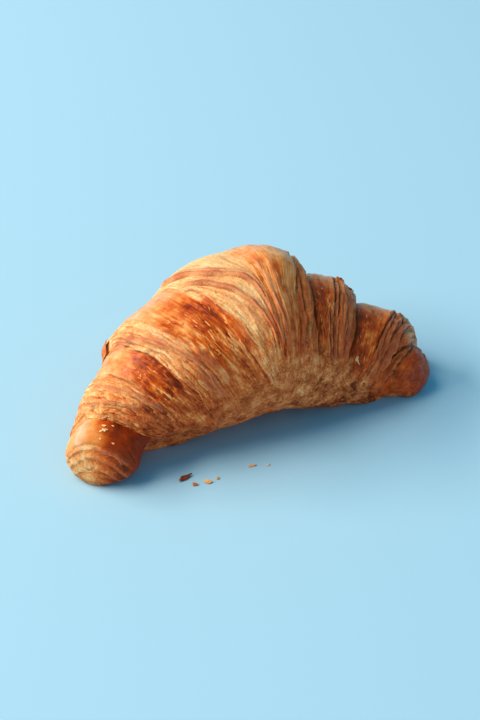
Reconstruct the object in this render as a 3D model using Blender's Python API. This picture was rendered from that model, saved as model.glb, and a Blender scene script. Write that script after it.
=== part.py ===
"""A baked croissant as one closed solid: a crescent rolled up from a triangle of layered dough.

Run it with blender --background --python part.py, or from Blender's text editor. The constants are in
millimetres and degrees. The croissant lies on its flat base at z = 0, with its tips along X and the hollow
side of the crescent towards -Y, and the origin is under the middle of its bounding box.
"""

import math

import bmesh
import bpy
import numpy as np

MM = 0.001

# The centre line of the roll runs from the left tip through the middle of the loaf (0) to the right tip.
LEFT_ARM = 81.0
RIGHT_ARM = 78.5
MIDDLE_HEADING = 6.6
LEFT_BEND = 18.0
RIGHT_BEND = 46.0
BEND_POWER = 0.74
# The last stretch of each arm hooks a little more.
TIP_LENGTH = 24.0
LEFT_HOOK = 36.0
RIGHT_HOOK = 22.0
# Height of the centre line over the table at stations along it.
HEIGHT_STATIONS = (-81.0, -60.0, -40.0, -20.0, 0.0, 12.0, 30.0, 50.0, 66.0, 78.5)
HEIGHTS = (8.6, 14.8, 21.9, 27.7, 31.0, 30.2, 24.4, 16.8, 10.8, 8.6)

# The section is a little wider than it is tall.
WIDE = 1.01
TALL = 0.957
# The base is pressed flat on the tray: what would reach lower is cut off, with a rounded edge this deep.
BASE_EDGE = 2.0
# Under the base the dough has spread by this share of its radius, so that the flat is a broad one.
BASE_SPREAD = 0.12

# The rolled triangle shows three steps on each side of the middle wrap. A wrap's brown skin ends at its
# lip, its cut layers drop from there to the foot, and the skin of the next wrap comes out at the foot.
# Each row: place along the centre line at the top, shift at the front, shift at the back, radius.
EDGES = (
    ("left lip 3", -74.5, 5.0, 0.0, 12.6),
    ("left foot 2", -68.2, 17.0, -2.0, 12.4),
    ("left lip 2", -54.5, 15.0, -1.0, 19.7),
    ("left foot 1", -44.6, 15.2, -2.0, 24.4),
    ("left lip 1", -36.7, 19.6, -4.0, 30.0),
    ("left foot 0", -19.4, 20.0, -6.0, 31.0),
    ("left lip 0", 6.0, -1.4, -8.0, 35.4),
    ("right lip 0", 23.2, -9.2, 0.0, 33.8),
    ("right foot 0", 30.4, -1.0, 0.0, 26.8),
    ("right lip 1", 41.2, -10.0, 1.0, 28.2),
    ("right foot 1", 50.0, -7.0, 0.0, 21.0),
    ("right lip 2", 63.5, -15.5, 1.0, 21.8),
    ("right foot 2", 70.8, -12.6, 0.0, 12.4),
    ("right lip 3", 74.5, -7.5, 0.0, 10.6),
)

# Low on the front and the back, the steps fade into one smooth bag of dough of these radii.
BAG_STATIONS = (-75.0, -55.0, -35.0, -15.0, 5.0, 25.0, 40.0, 55.0, 75.0)
BAG_RADII = (12.8, 17.5, 25.0, 31.0, 33.6, 31.0, 26.5, 20.5, 10.5)
# The arms keep more of their steps there than the middle does.
ARM_STEPS = 0.55

# Shape of the cut faces and skins.
CUT_ROUNDNESS = 2.0
SKIN_BULGE = 0.5
MIDDLE_BULGE = 2.2

# Angles around the section: 0 back, 90 top, 180 front, 270 base.
FRONT_START = 70.0
FRONT_REACH = 125.0
FRONT_POWER = 1.8
# The steps fade over this range at the front, and over as much at the back.
FADE_START = 130.0
FADE_REACH = 50.0

AROUND = 56
CAP_ROWS = 7
SKIN_ROWS = 4
CUT_ROWS = 7
WIDE_CUT_ROWS = 10


def ease(value):
    """Smooth step from 0 to 1."""
    value = np.clip(value, 0.0, 1.0)
    return value * value * (3.0 - 2.0 * value)


def centre_line(places):
    """Points and headings of the centre line: the heading turns by a power of the distance along each
    arm, plus a hook near the tip, and is summed up along the line."""
    line = np.linspace(-LEFT_ARM, RIGHT_ARM, 1201)
    left = line < 0.0
    arm = np.where(left, LEFT_ARM, RIGHT_ARM)
    bend = np.radians(np.where(left, LEFT_BEND, RIGHT_BEND))
    hook = np.radians(np.where(left, LEFT_HOOK, RIGHT_HOOK))
    turned = bend * (np.abs(line) / arm) ** BEND_POWER
    turned += hook * ease((np.abs(line) - arm + TIP_LENGTH) / TIP_LENGTH)
    heading = math.radians(MIDDLE_HEADING) - np.sign(line) * turned
    middle = 0.5 * (heading[1:] + heading[:-1])
    step = np.diff(line)
    x = np.concatenate([[0.0], np.cumsum(np.cos(middle) * step)])
    y = np.concatenate([[0.0], np.cumsum(np.sin(middle) * step)])
    x -= np.interp(0.0, line, x)
    y -= np.interp(0.0, line, y)
    z = smoothed(np.interp(line, HEIGHT_STATIONS, HEIGHTS), 60)
    return [np.interp(places, line, values) for values in (x, y, z, heading)]


def smoothed(values, width):
    """Moving average over width samples each way, with the ends kept."""
    padded = np.pad(values, width, mode="reflect", reflect_type="odd")
    kernel = np.hanning(2 * width + 1)
    return np.convolve(padded, kernel / kernel.sum(), mode="valid")


def front_shift(angle):
    """0 from the back foot to past the top, rising to 1 at the front foot, and back to 0 under the base."""
    across = np.clip((angle - FRONT_START) / FRONT_REACH, 0.0, 1.12)
    return across**FRONT_POWER * (1.0 - ease((angle - FRONT_START - FRONT_REACH) / 75.0))


def back_shift(angle):
    """1 at the back foot and 0 at the top and under the base."""
    return ease((FRONT_START - angle) / 110.0) * (1.0 - ease((-angle - 30.0) / 60.0))


def edge_places(angle):
    """Where each edge lies along the centre line at each angle around the section, tips included."""
    front = front_shift(angle)
    back = back_shift(angle)
    rows = [top + at_front * front + at_back * back for _, top, at_front, at_back, _ in EDGES]
    return [np.full_like(angle, -LEFT_ARM)] + rows + [np.full_like(angle, RIGHT_ARM)]


def bag_share(angle, place):
    """How far the steps have faded: from 1 at the front foot and under the base to 0 higher up."""
    front = ease((angle - FADE_START) / FADE_REACH)
    back = ease((-10.0 - angle) / FADE_REACH)
    on_arm = ease((np.abs(place - 5.0) - 30.0) / 20.0)
    return np.maximum(front, back) * (1.0 - ARM_STEPS * on_arm)


def base_spread(angle):
    """Growth of the radius under the base, at angles from 235 degrees at the front to 305 at the back."""
    under = np.abs(np.mod(angle, 360.0) - 270.0)
    return 1.0 + BASE_SPREAD * (1.0 - ease((under - 10.0) / 25.0))


def loft_rows(angle):
    """Place and radius of every ring point, from the left tip to the right tip."""
    places = edge_places(angle)
    names = ["tip"] + [edge[0] for edge in EDGES] + ["tip"]
    radii = [0.0] + [edge[4] for edge in EDGES] + [0.0]
    rows = []
    for i in range(len(places) - 1):
        start, end = names[i], names[i + 1]
        low, high = radii[i], radii[i + 1]
        if start == "tip":
            turn = np.linspace(0.0, 0.5 * math.pi, CAP_ROWS, endpoint=False)
            along, radius = 1.0 - np.cos(turn), high * np.sin(turn)
        elif end == "tip":
            turn = np.linspace(0.0, 0.5 * math.pi, CAP_ROWS + 1)
            along, radius = np.sin(turn), low * np.cos(turn)
        elif "foot" in start and start.startswith("left") or start.startswith("right lip") and "foot" in end:
            count = WIDE_CUT_ROWS if start == "left foot 0" else CUT_ROWS
            along = np.linspace(0.0, 1.0, count, endpoint=False)
            from_lip = 1.0 - along if start.startswith("left") else along
            drop = (1.0 - from_lip**CUT_ROUNDNESS) ** (1.0 / CUT_ROUNDNESS)
            radius = min(low, high) + abs(high - low) * drop
        else:
            along = np.linspace(0.0, 1.0, SKIN_ROWS, endpoint=False)
            bulge = MIDDLE_BULGE if start == "left lip 0" else SKIN_BULGE
            radius = low + (high - low) * along + bulge * 4.0 * along * (1.0 - along)
        for share, size in zip(along, radius):
            place = places[i] + (places[i + 1] - places[i]) * share
            if "tip" not in (start, end):
                bag = np.interp(place, BAG_STATIONS, BAG_RADII)
                size = size + (bag - size) * bag_share(angle, place)
            rows.append((place, size * base_spread(angle)))
    return np.array([row[0] for row in rows]), np.array([row[1] for row in rows])


def croissant_points():
    """Ring points in millimetres, one row for each ring, centred under the bounding box."""
    angle = np.linspace(-90.0, 270.0, AROUND, endpoint=False)
    place, radius = loft_rows(angle)
    x, y, z, heading = centre_line(place)
    turn = np.radians(angle)[None, :]
    outward = WIDE * radius * np.cos(turn)
    points = np.stack(
        [x - outward * np.sin(heading), y + outward * np.cos(heading), z + TALL * radius * np.sin(turn)],
        axis=-1,
    )
    height = points[..., 2]
    rounded = (height + BASE_EDGE) ** 2 / (4.0 * BASE_EDGE)
    height = np.where(height > BASE_EDGE, height, np.where(height < -BASE_EDGE, 0.0, rounded))
    points[..., 2] = height
    flat = points.reshape(-1, 3)
    points[..., :2] -= 0.5 * (flat.min(axis=0) + flat.max(axis=0))[:2]
    return points


def croissant_mesh():
    """Skin over the rings, closed at each tip by a fan round one point."""
    points = croissant_points() * MM
    mesh = bpy.data.meshes.new("croissant")
    shape = bmesh.new()
    left_tip = shape.verts.new(points[0].mean(axis=0))
    right_tip = shape.verts.new(points[-1].mean(axis=0))
    rings = [[shape.verts.new(point) for point in ring] for ring in points[1:-1]]
    for i in range(AROUND):
        nxt = (i + 1) % AROUND
        shape.faces.new((left_tip, rings[0][nxt], rings[0][i]))
        shape.faces.new((right_tip, rings[-1][i], rings[-1][nxt]))
        for ring, after in zip(rings, rings[1:]):
            shape.faces.new((ring[i], ring[nxt], after[nxt], after[i]))
    bmesh.ops.recalc_face_normals(shape, faces=shape.faces)
    shape.to_mesh(mesh)
    shape.free()
    mesh.shade_smooth()
    mesh.set_sharp_from_angle(angle=math.radians(50.0))
    return mesh


def crust_material():
    """Golden brown crust with an egg wash."""
    material = bpy.data.materials.new("crust")
    material.use_nodes = True
    shader = material.node_tree.nodes["Principled BSDF"]
    shader.inputs["Base Color"].default_value = (0.51, 0.21, 0.065, 1.0)
    shader.inputs["Roughness"].default_value = 0.5
    shader.inputs["Metallic"].default_value = 0.0
    return material


for old in list(bpy.data.objects):
    bpy.data.objects.remove(old)

croissant = bpy.data.objects.new("croissant", croissant_mesh())
croissant.data.materials.append(crust_material())
bpy.context.scene.collection.objects.link(croissant)
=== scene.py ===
import itertools
import math

import bpy
import numpy as np
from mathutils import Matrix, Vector


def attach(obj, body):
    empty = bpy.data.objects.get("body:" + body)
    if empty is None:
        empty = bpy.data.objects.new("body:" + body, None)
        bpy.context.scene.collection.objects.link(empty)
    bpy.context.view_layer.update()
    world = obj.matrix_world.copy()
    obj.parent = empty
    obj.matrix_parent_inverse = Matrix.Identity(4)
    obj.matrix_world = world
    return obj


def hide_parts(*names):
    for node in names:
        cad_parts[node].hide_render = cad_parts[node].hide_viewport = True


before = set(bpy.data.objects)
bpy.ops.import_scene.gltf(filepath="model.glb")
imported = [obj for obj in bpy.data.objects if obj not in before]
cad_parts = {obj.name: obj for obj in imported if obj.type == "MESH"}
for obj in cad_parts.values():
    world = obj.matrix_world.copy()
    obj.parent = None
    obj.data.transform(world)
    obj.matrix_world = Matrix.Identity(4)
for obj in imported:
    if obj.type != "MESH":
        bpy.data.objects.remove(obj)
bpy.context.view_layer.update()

# ---------------------------------------------------------------------------------------------------------
# The croissant: a triangle of layered yeast dough, rolled up from its wide side to its point and curved
# into a crescent. It is one baked body. Each wrap shows a glossy brown skin that ends at a lip, the pale
# cut edges of its layers below the lip, and a crease at their foot, where the next wrap comes out.

MM = 0.001

# Centre line of the roll, in millimetres and degrees, from the left tip through the middle (0) to the right.
LEFT_ARM, RIGHT_ARM = 81.0, 78.5
MIDDLE_HEADING = 6.6
LEFT_BEND, RIGHT_BEND, BEND_POWER = 18.0, 46.0, 0.74
TIP_LENGTH, LEFT_HOOK, RIGHT_HOOK = 24.0, 36.0, 22.0
HEIGHT_STATIONS = (-81.0, -60.0, -40.0, -20.0, 0.0, 12.0, 30.0, 50.0, 66.0, 78.5)
HEIGHTS = (8.6, 14.8, 21.9, 27.7, 31.0, 30.2, 24.4, 16.8, 10.8, 8.6)
LINE_SAMPLES, LINE_SMOOTHING = 1201, 60

# Section of the roll: a little wider than tall, with a base pressed flat on the tray and spread by it.
WIDE, TALL = 1.01, 0.957
BASE_EDGE, BASE_SPREAD = 2.0, 0.12
CUT_ROUNDNESS = 2.0
SKIN_BULGE, MIDDLE_BULGE = 0.5, 2.2

# Wrap edges: place along the line at the top, shift at the front, shift at the back, radius.
EDGES = (
    ("left lip 3", -74.5, 5.0, 0.0, 12.6),
    ("left foot 2", -68.2, 17.0, -2.0, 12.4),
    ("left lip 2", -54.5, 15.0, -1.0, 19.7),
    ("left foot 1", -44.6, 15.2, -2.0, 24.4),
    ("left lip 1", -36.7, 19.6, -4.0, 30.0),
    ("left foot 0", -19.4, 20.0, -6.0, 31.0),
    ("left lip 0", 6.0, -1.4, -8.0, 35.4),
    ("right lip 0", 23.2, -9.2, 0.0, 33.8),
    ("right foot 0", 30.4, -1.0, 0.0, 26.8),
    ("right lip 1", 41.2, -10.0, 1.0, 28.2),
    ("right foot 1", 50.0, -7.0, 0.0, 21.0),
    ("right lip 2", 63.5, -15.5, 1.0, 21.8),
    ("right foot 2", 70.8, -12.6, 0.0, 12.4),
    ("right lip 3", 74.5, -7.5, 0.0, 10.6),
)
BAG_STATIONS = (-75.0, -55.0, -35.0, -15.0, 5.0, 25.0, 40.0, 55.0, 75.0)
BAG_RADII = (12.8, 17.5, 25.0, 31.0, 33.6, 31.0, 26.5, 20.5, 10.5)
ARM_STEPS = 0.55

# Bands between the edges, from the left tip to the right tip: kind (an end, cut layers or a skin), rows of
# faces, spacing of the layers in millimetres, height of their steps, and how far the oven has browned it at
# the back, at the top and at the front. On the skins the paler back is partly a painted sheen.
BANDS = (
    ("end", 34, 4.3, 0.50, 0.24, 0.30, 0.56),
    ("skin", 18, 0.0, 0.0, 0.24, 0.27, 0.76),
    ("cut", 44, 2.9, 0.60, 0.24, 0.38, 0.68),
    ("skin", 24, 0.0, 0.0, 0.26, 0.54, 0.62),
    ("cut", 38, 2.1, 0.55, 0.20, 0.20, 0.60),
    ("skin", 34, 0.0, 0.0, 0.22, 0.48, 0.56),
    ("cut", 66, 3.0, 0.30, 0.10, 0.17, 0.34),
    ("skin", 34, 0.0, 0.0, 0.16, 0.26, 0.52),
    ("cut", 32, 1.9, 0.50, 0.18, 0.46, 0.56),
    ("skin", 20, 0.0, 0.0, 0.20, 0.50, 0.50),
    ("cut", 34, 1.8, 0.40, 0.24, 0.52, 0.60),
    ("skin", 24, 0.0, 0.0, 0.20, 0.58, 0.60),
    ("cut", 36, 2.1, 0.40, 0.12, 0.70, 0.60),
    ("skin", 12, 0.0, 0.0, 0.04, 0.12, 0.22),
    ("end", 24, 2.0, 0.40, 0.40, 0.48, 0.50),
)
AROUND = 208


def ease(value):
    """Smooth step: three times the square less twice the cube, held between 0 and 1."""
    value = np.clip(value, 0.0, 1.0)
    return value * value * (3.0 - 2.0 * value)


def smoothed(values, width):
    """Weighted moving average over width samples each way, with the ends kept."""
    padded = np.pad(values, width, mode="reflect", reflect_type="odd")
    kernel = np.hanning(2 * width + 1)
    return np.convolve(padded, kernel / kernel.sum(), mode="valid")


def centre_line(places):
    """Points and headings of the centre line: the heading turns by a power of the distance along each arm,
    plus a hook near the tip, and the line is the sum of small steps along it."""
    line = np.linspace(-LEFT_ARM, RIGHT_ARM, LINE_SAMPLES)
    left = line < 0.0
    arm = np.where(left, LEFT_ARM, RIGHT_ARM)
    bend = np.radians(np.where(left, LEFT_BEND, RIGHT_BEND))
    hook = np.radians(np.where(left, LEFT_HOOK, RIGHT_HOOK))
    turned = bend * (np.abs(line) / arm) ** BEND_POWER
    turned += hook * ease((np.abs(line) - arm + TIP_LENGTH) / TIP_LENGTH)
    heading = math.radians(MIDDLE_HEADING) - np.sign(line) * turned
    middle = 0.5 * (heading[1:] + heading[:-1])
    step = np.diff(line)
    x = np.concatenate([[0.0], np.cumsum(np.cos(middle) * step)])
    y = np.concatenate([[0.0], np.cumsum(np.sin(middle) * step)])
    x -= np.interp(0.0, line, x)
    y -= np.interp(0.0, line, y)
    z = smoothed(np.interp(line, HEIGHT_STATIONS, HEIGHTS), LINE_SMOOTHING)
    return [np.interp(places, line, values) for values in (x, y, z, heading)]


def front_shift(angle):
    """0 from the back foot to past the top, rising to 1 at the front foot, and back to 0 under the base."""
    across = np.clip((angle - 70.0) / 125.0, 0.0, 1.12)
    return across**1.8 * (1.0 - ease((angle - 195.0) / 75.0))


def back_shift(angle):
    """1 at the back foot and 0 at the top and under the base."""
    return ease((70.0 - angle) / 110.0) * (1.0 - ease((-angle - 30.0) / 60.0))


def faded(angle, place):
    """How far the steps have faded: from 1 at the front foot and under the base to 0 higher up."""
    low = np.maximum(ease((angle - 130.0) / 50.0), ease((-10.0 - angle) / 50.0))
    on_arm = ease((np.abs(place - 5.0) - 30.0) / 20.0)
    return low * (1.0 - ARM_STEPS * on_arm)


random = np.random.default_rng(11)
DIRECTIONS = random.normal(size=(256, 3))
DIRECTIONS /= np.linalg.norm(DIRECTIONS, axis=1, keepdims=True)
SHUFFLE = random.permutation(256)


def noise(points, seed):
    """Gradient noise, about -1 to 1: at each corner of a unit lattice a random direction is dotted with the
    way from the corner to the point, and the eight products are blended by the smooth step."""
    cell = np.floor(points).astype(np.int64)
    part = points - cell
    fade = ease(part)
    total = np.zeros(points.shape[:-1])
    for corner in itertools.product((0, 1), repeat=3):
        at = (cell + np.array(corner)) & 255
        pick = SHUFFLE[(SHUFFLE[(SHUFFLE[(at[..., 0] + seed) & 255] + at[..., 1]) & 255] + at[..., 2]) & 255]
        weight = np.prod(np.where(corner, fade, 1.0 - fade), axis=-1)
        total += weight * (DIRECTIONS[pick] * (part - corner)).sum(axis=-1)
    return 1.7 * total


def clouds(points, seed, octaves=3):
    """Sum of noises, each at twice the frequency and half the strength of the one before."""
    total = sum(noise(points * 2.0**n, seed + 31 * n) * 0.5**n for n in range(octaves))
    return total / 1.4


def ridges(points, seed, octaves=2):
    """Sharp crests, 0 to 1: one less the size of a noise, which is highest where the noise crosses zero."""
    total = sum((1.0 - np.abs(noise(points * 2.0**n, seed + 17 * n))) ** 3 * 0.5**n for n in range(octaves))
    return total / sum(0.5**n for n in range(octaves))


# Columns stand close together over the top and the sides, and further apart under the base.
even = np.linspace(-90.0, 270.0, 3601)
density = 0.3 + 0.7 * ease((even + 50.0) / 20.0) * (1.0 - ease((even - 222.0) / 18.0))
reached = np.concatenate([[0.0], np.cumsum(0.5 * (density[1:] + density[:-1]))])
ANGLE = np.interp(np.linspace(0.0, reached[-1], AROUND, endpoint=False), reached, even)
turn = np.radians(ANGLE)
around_way = np.stack([np.cos(turn), np.sin(turn)], axis=-1)


def edge_place(index):
    """Place of one edge at every column: its place at the top, shifted at the front and the back, and drawn
    a little unevenly by a slow and a quick noise around the roll."""
    if index < 0:
        return np.full(AROUND, -LEFT_ARM)
    if index == len(EDGES):
        return np.full(AROUND, RIGHT_ARM)
    _, top, at_front, at_back, radius = EDGES[index]
    ring = np.concatenate([np.full((AROUND, 1), 7.3 * index), around_way * radius], axis=1)
    uneven = 0.55 * noise(ring / (11.0, 11.0, 11.0), 3) + 0.22 * noise(ring / (3.1, 3.1, 3.1), 5)
    calm = 0.5 if radius < 13.0 else 1.0
    return top + at_front * front_shift(ANGLE) + at_back * back_shift(ANGLE) + calm * uneven


places, radii = [], []
kind, from_lip, from_foot, spacing, step_height, browned, grain, band_number = [], [], [], [], [], [], [], []
walked = 0.0
for number, (what, rows, layer, height, *brown) in enumerate(BANDS):
    start, end = number - 1, number
    low = EDGES[start][4] if start >= 0 else 0.0
    high = EDGES[end][4] if end < len(EDGES) else 0.0
    first, last = edge_place(start), edge_place(end)
    share = np.linspace(0.0, 1.0, 401)
    left_side = number < 7
    if number == 0:
        along, radius = 1.0 - np.cos(share * math.pi / 2), high * np.sin(share * math.pi / 2)
    elif number == len(BANDS) - 1:
        along, radius = np.sin(share * math.pi / 2), low * np.cos(share * math.pi / 2)
    elif what == "cut":
        along = share
        lip = 1.0 - along if left_side else along
        radius = min(low, high) + abs(high - low) * (1.0 - lip**CUT_ROUNDNESS) ** (1.0 / CUT_ROUNDNESS)
    else:
        along = share
        bulge = MIDDLE_BULGE if number == 7 else SKIN_BULGE
        radius = low + (high - low) * along + bulge * 4.0 * along * (1.0 - along)
    top_column = np.argmin(np.abs(ANGLE - 90.0))
    width = last[top_column] - first[top_column]
    length = np.concatenate([[0.0], np.cumsum(np.hypot(np.diff(along) * width, np.diff(radius)))])
    stops = np.linspace(0.0, length[-1], rows, endpoint=number == len(BANDS) - 1)
    along, radius = np.interp(stops, length, along), np.interp(stops, length, radius)
    place = first + (last - first) * along[:, None]
    size = np.repeat(radius[:, None], AROUND, axis=1)
    if what != "end":
        bag = np.interp(place, BAG_STATIONS, BAG_RADII)
        size = size + (bag - size) * faded(ANGLE, place)
    places.append(place)
    radii.append(size)
    lip_at_end = what != "skin" and left_side or what == "skin" and not left_side
    away = length[-1] - stops if lip_at_end else stops
    from_lip.append(np.minimum(stops, length[-1] - stops) if number == 7 else away)
    from_foot.append(np.full(rows, 99.0) if number == 7 else length[-1] - away)
    kind.append(np.full(rows, 0.0 if what == "skin" else 1.0))
    spacing.append(np.full(rows, layer if layer else 1.0))
    step_height.append(np.full(rows, height))
    browned.append(np.tile(brown, (rows, 1)))
    band_number.append(np.full(rows, number))
    grain.append(walked + stops)
    walked += length[-1]

place, size = np.concatenate(places), np.concatenate(radii)
cut, from_lip, from_foot, spacing, step_height, grain, band = (
    np.concatenate(values)[:, None]
    for values in (kind, from_lip, from_foot, spacing, step_height, grain, band_number)
)
browned = np.concatenate(browned)
skin = 1.0 - cut
ROWS = len(place)
under = np.abs(np.mod(ANGLE, 360.0) - 270.0)
size = size * (1.0 + BASE_SPREAD * (1.0 - ease((under - 10.0) / 25.0)))

x, y, z, heading = centre_line(place)
outward = WIDE * size * np.cos(turn)
points = np.stack(
    [x - outward * np.sin(heading), y + outward * np.cos(heading), z + TALL * size * np.sin(turn)], axis=-1
)
onward = np.stack([np.cos(heading), np.sin(heading), np.zeros_like(heading)], axis=-1)


def unit(vectors):
    """Vectors divided by their own lengths."""
    return vectors / np.maximum(np.linalg.norm(vectors, axis=-1, keepdims=True), 1e-9)


def outward_normals(surface):
    """Cross product of the way around the roll and the way along it, at every grid point."""
    along_roll = np.gradient(surface, axis=0)
    around_roll = np.roll(surface, -1, axis=1) - np.roll(surface, 1, axis=1)
    return unit(np.cross(along_roll, around_roll))


normal = outward_normals(points)
middle = points.mean(axis=1, keepdims=True)
if ((points - middle) * normal).sum() < 0.0:
    normal = -normal

# On the wide left cut face the layers fan out: three shelf edges leave the foot at the back and run up
# towards the lip at the front, so the coordinate across the wraps is bent to follow them.
SHELF_ANGLES = (40.0, 57.0, 77.0, 90.0, 103.0, 113.0, 124.0, 136.0, 160.0)
SHELF_SHARES = (
    (0.10, 0.10, 0.10, 0.15, 0.24, 0.32, 0.36, 0.38, 0.40),
    (0.14, 0.13, 0.16, 0.28, 0.42, 0.54, 0.70, 0.86, 0.88),
    (0.18, 0.20, 0.34, 0.55, 0.82, 0.91, 0.95, 0.97, 0.97),
)
SHELF_GRAIN = (0.0, 7.0, 12.0, 17.0, 27.0)
wide_cut = band == 6
share = 1.0 - from_lip / from_lip[wide_cut].max()
shelves = [np.interp(ANGLE, SHELF_ANGLES, shares)[None, :] for shares in SHELF_SHARES]
stops = [0.0 * shelves[0]] + shelves + [1.0 + 0.0 * shelves[0]]
fanned = sum(
    (far_grain - near_grain) * np.clip((share - near) / np.maximum(far - near, 0.02), 0.0, 1.0)
    for near, far, near_grain, far_grain in zip(stops, stops[1:], SHELF_GRAIN, SHELF_GRAIN[1:])
)
grain_fan = np.where(wide_cut, grain[wide_cut].min() + fanned, grain)

# Ways of reading noise: evenly in space, and along the wraps, where the first number runs across them.
wander = 1.2 * clouds(points / 15.0, 41, 2)
flow = np.stack(
    [grain_fan + wander, 26.0 * around_way[:, 0] + 0.0 * place, 26.0 * around_way[:, 1] + 0.0 * place], axis=-1
)


def along_wraps(across, along):
    """Noise coordinates stretched along the wraps: one unit is across millimetres from wrap to wrap, and
    along millimetres around the roll."""
    return flow / (across, along, along)


low_down = faded(ANGLE, place)
off_base = ease((under - 32.0) / 14.0) + 0.0 * place
off_base = np.where(band == 0, ease((points[..., 2] - 0.8) / 2.0), off_base)
crisp = (1.0 - 0.85 * low_down) * off_base

# The glossy skin reaches on over the left tip to a broken lip, and over the whole right tip.
nub_line = np.interp(ANGLE, (-30, -6, 12, 24, 116, 134, 156, 190), (-73.5, -75.0, -77.2, -77.8, -77.4, -77.0, -75.4, -73.0))
nub_line = nub_line + 0.45 * noise(np.stack([3.0 * turn, 0.0 * turn, 0.0 * turn], axis=-1), 29)
lobe_line = np.interp(ANGLE, (0, 43, 79, 119, 151, 170, 195), (70.0, 70.6, 72.7, 72.0, 70.7, 67.8, 63.2))
nub_edge = 0.7 + 4.0 * ease((ANGLE - 104.0) / 30.0)
cut = np.where(band <= 1, ease((nub_line - place) / nub_edge + 0.5), cut)
cut = np.where(band >= 12, ease((lobe_line - place) / 0.7 + 0.5), cut)
skin = 1.0 - cut
from_lip = np.where(band <= 1, np.abs(place - nub_line), from_lip + 0.0 * place)
from_lip = np.where(band >= 13, 99.0, from_lip)
from_foot = np.where(band == 0, 99.0, from_foot + 0.0 * place)
from_foot = np.where(band >= 12, np.abs(place - lobe_line), from_foot)

# The rough belly starts higher under the middle wrap than on the arms.
belly_start = np.interp(place, (-80, -62, -50, -20, 0, 10, 16, 30, 40, 60, 80), (225, 215, 192, 174, 156, 153, 150, 148, 150, 160, 184))
belly = ease((ANGLE - belly_start + 26.0 * clouds(points / 7.0, 61, 3)) / 32.0 + 0.2)
belly = np.maximum(belly, ease((-18.0 - ANGLE) / 20.0)) + 0.0 * place
near_tray = ease((4.5 - points[..., 2] + 2.5 * clouds(points / 5.0, 62, 2)) / 3.5)
belly = np.where((band == 0) | (band >= 13), near_tray, belly)
crisp = crisp * (1.0 - belly)

# Dents and swellings of the hand-rolled loaf: place, angle, reach and height in millimetres.
SWELLINGS = (
    (-10.0, 50.0, 12.0, 1.3), (5.0, 68.0, 9.0, -1.5), (19.0, 66.0, 7.0, 1.1), (-67.0, 20.0, 9.0, -1.9),
    (-80.0, 10.0, 9.0, -1.1), (-45.0, 20.0, 3.6, 1.2), (43.0, 62.0, 2.4, 1.3), (47.0, 64.0, 2.2, -0.8),
    (64.5, 62.0, 2.4, 0.9), (69.0, 60.0, 4.0, -1.2), (77.0, -35.0, 8.0, 1.6), (27.0, 66.0, 2.6, 0.8),
    (-57.5, 30.0, 4.0, 0.7), (-24.0, 30.0, 8.0, -0.7), (-54.0, 228.0, 9.0, -4.6), (-43.0, 220.0, 8.0, -1.6), (-66.0, 205.0, 5.0, 0.8),
    (-70.5, 200.0, 10.0, 3.8), (18.5, 88.0, 9.5, 2.6),
    (-72.5, 80.0, 6.0, 1.0), (-74.0, 150.0, 7.0, 0.8),
)
rise = 0.50 * clouds(points / 24.0, 1, 2) + 0.28 * clouds(points / 8.0, 2, 2)
for at_place, at_angle, reach, height in SWELLINGS:
    nearest = np.argmin(np.abs(place - at_place) + 0.4 * np.abs(ANGLE - at_angle))
    centre = points.reshape(-1, 3)[nearest]
    rise += height * np.exp(-(np.linalg.norm(points - centre, axis=-1) / reach) ** 2)

# Lips: the skin lifts a little at its ragged lip, and the cut layers start a little lower.
ragged = 0.30 + 1.2 * ease(0.5 + 0.9 * noise(along_wraps(30.0, 4.5), 7))
ragged_lip = ragged * np.where(band > 7, 1.5, 1.0) * np.where(band <= 1, 0.3, 1.0)
rise += skin * 0.40 * np.exp(-from_lip / 1.6) * ragged_lip * crisp
rise -= cut * 0.70 * np.exp(-from_lip / 0.9) * ragged_lip * crisp

# Cut layers lie like shingles: each rises slowly to its own free edge and drops steeply to the next. Their
# edges wander and merge, like the lines of a map. Finer sheets show between them.


def shingle(layer_at, back):
    """Saw tooth that climbs by a power of its own part of a layer and falls over the last share of it."""
    part = layer_at - np.floor(layer_at)
    return part**1.3 * (1.0 - ease((part - 1.0 + back) / back)), part


layer_at = from_lip / spacing + 1.0 * clouds(along_wraps(9.0, 20.0), 12, 2) + 0.14 * noise(along_wraps(3.0, 4.0), 13)
pole = [points[0].mean(axis=0), points[-1].mean(axis=0)]
way_in = np.where(band == 0, 1.0, -1.0)
across_end = ((points - np.where(band[..., None] == 0, pole[0], pole[1])) * (
    0.60 * way_in[..., None] * onward + np.array((0.0, 0.0, 0.8)))).sum(axis=-1)
is_end = (band == 0) | (band == len(BANDS) - 1)
tip = np.where(band[..., None] == 0, pole[0], pole[1])
to_front = ((points - tip) * np.stack([np.sin(heading), -np.cos(heading), 0.0 * heading], axis=-1)).sum(axis=-1)
arch = -0.0113 * (to_front - 1.0) ** 2
flat_layers = (14.0 - across_end) / spacing + arch + 0.30 * clouds(points / 8.0, 14, 2)
layer_at = np.where(is_end, flat_layers, layer_at)
layer_at = np.where(wide_cut, (27.0 - fanned) / spacing + 0.7 * clouds(along_wraps(9.0, 20.0), 12, 2), layer_at)
step, layer_part = shingle(layer_at, 0.14)
layer_strength = 0.20 + 1.30 * ease(0.5 + 1.0 * noise(np.stack(
    [np.floor(layer_at) * 5.3 + band * 3.1, flow[..., 1] / 10.0, flow[..., 2] / 10.0], axis=-1), 15))
calm_cut = 1.0 - 0.70 * wide_cut * (1.0 - ease((ANGLE - 128.0) / 20.0))
rise += cut * step_height * layer_strength * (step - 0.35) * calm_cut * (1.0 - 0.4 * low_down) * off_base * (1.0 - belly)
fine_at = from_lip / 1.05 + 0.8 * clouds(along_wraps(5.0, 16.0), 16, 2) + 0.2 * noise(points / 2.2, 17)
fine_step, fine_part = shingle(fine_at, 0.25)
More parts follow.
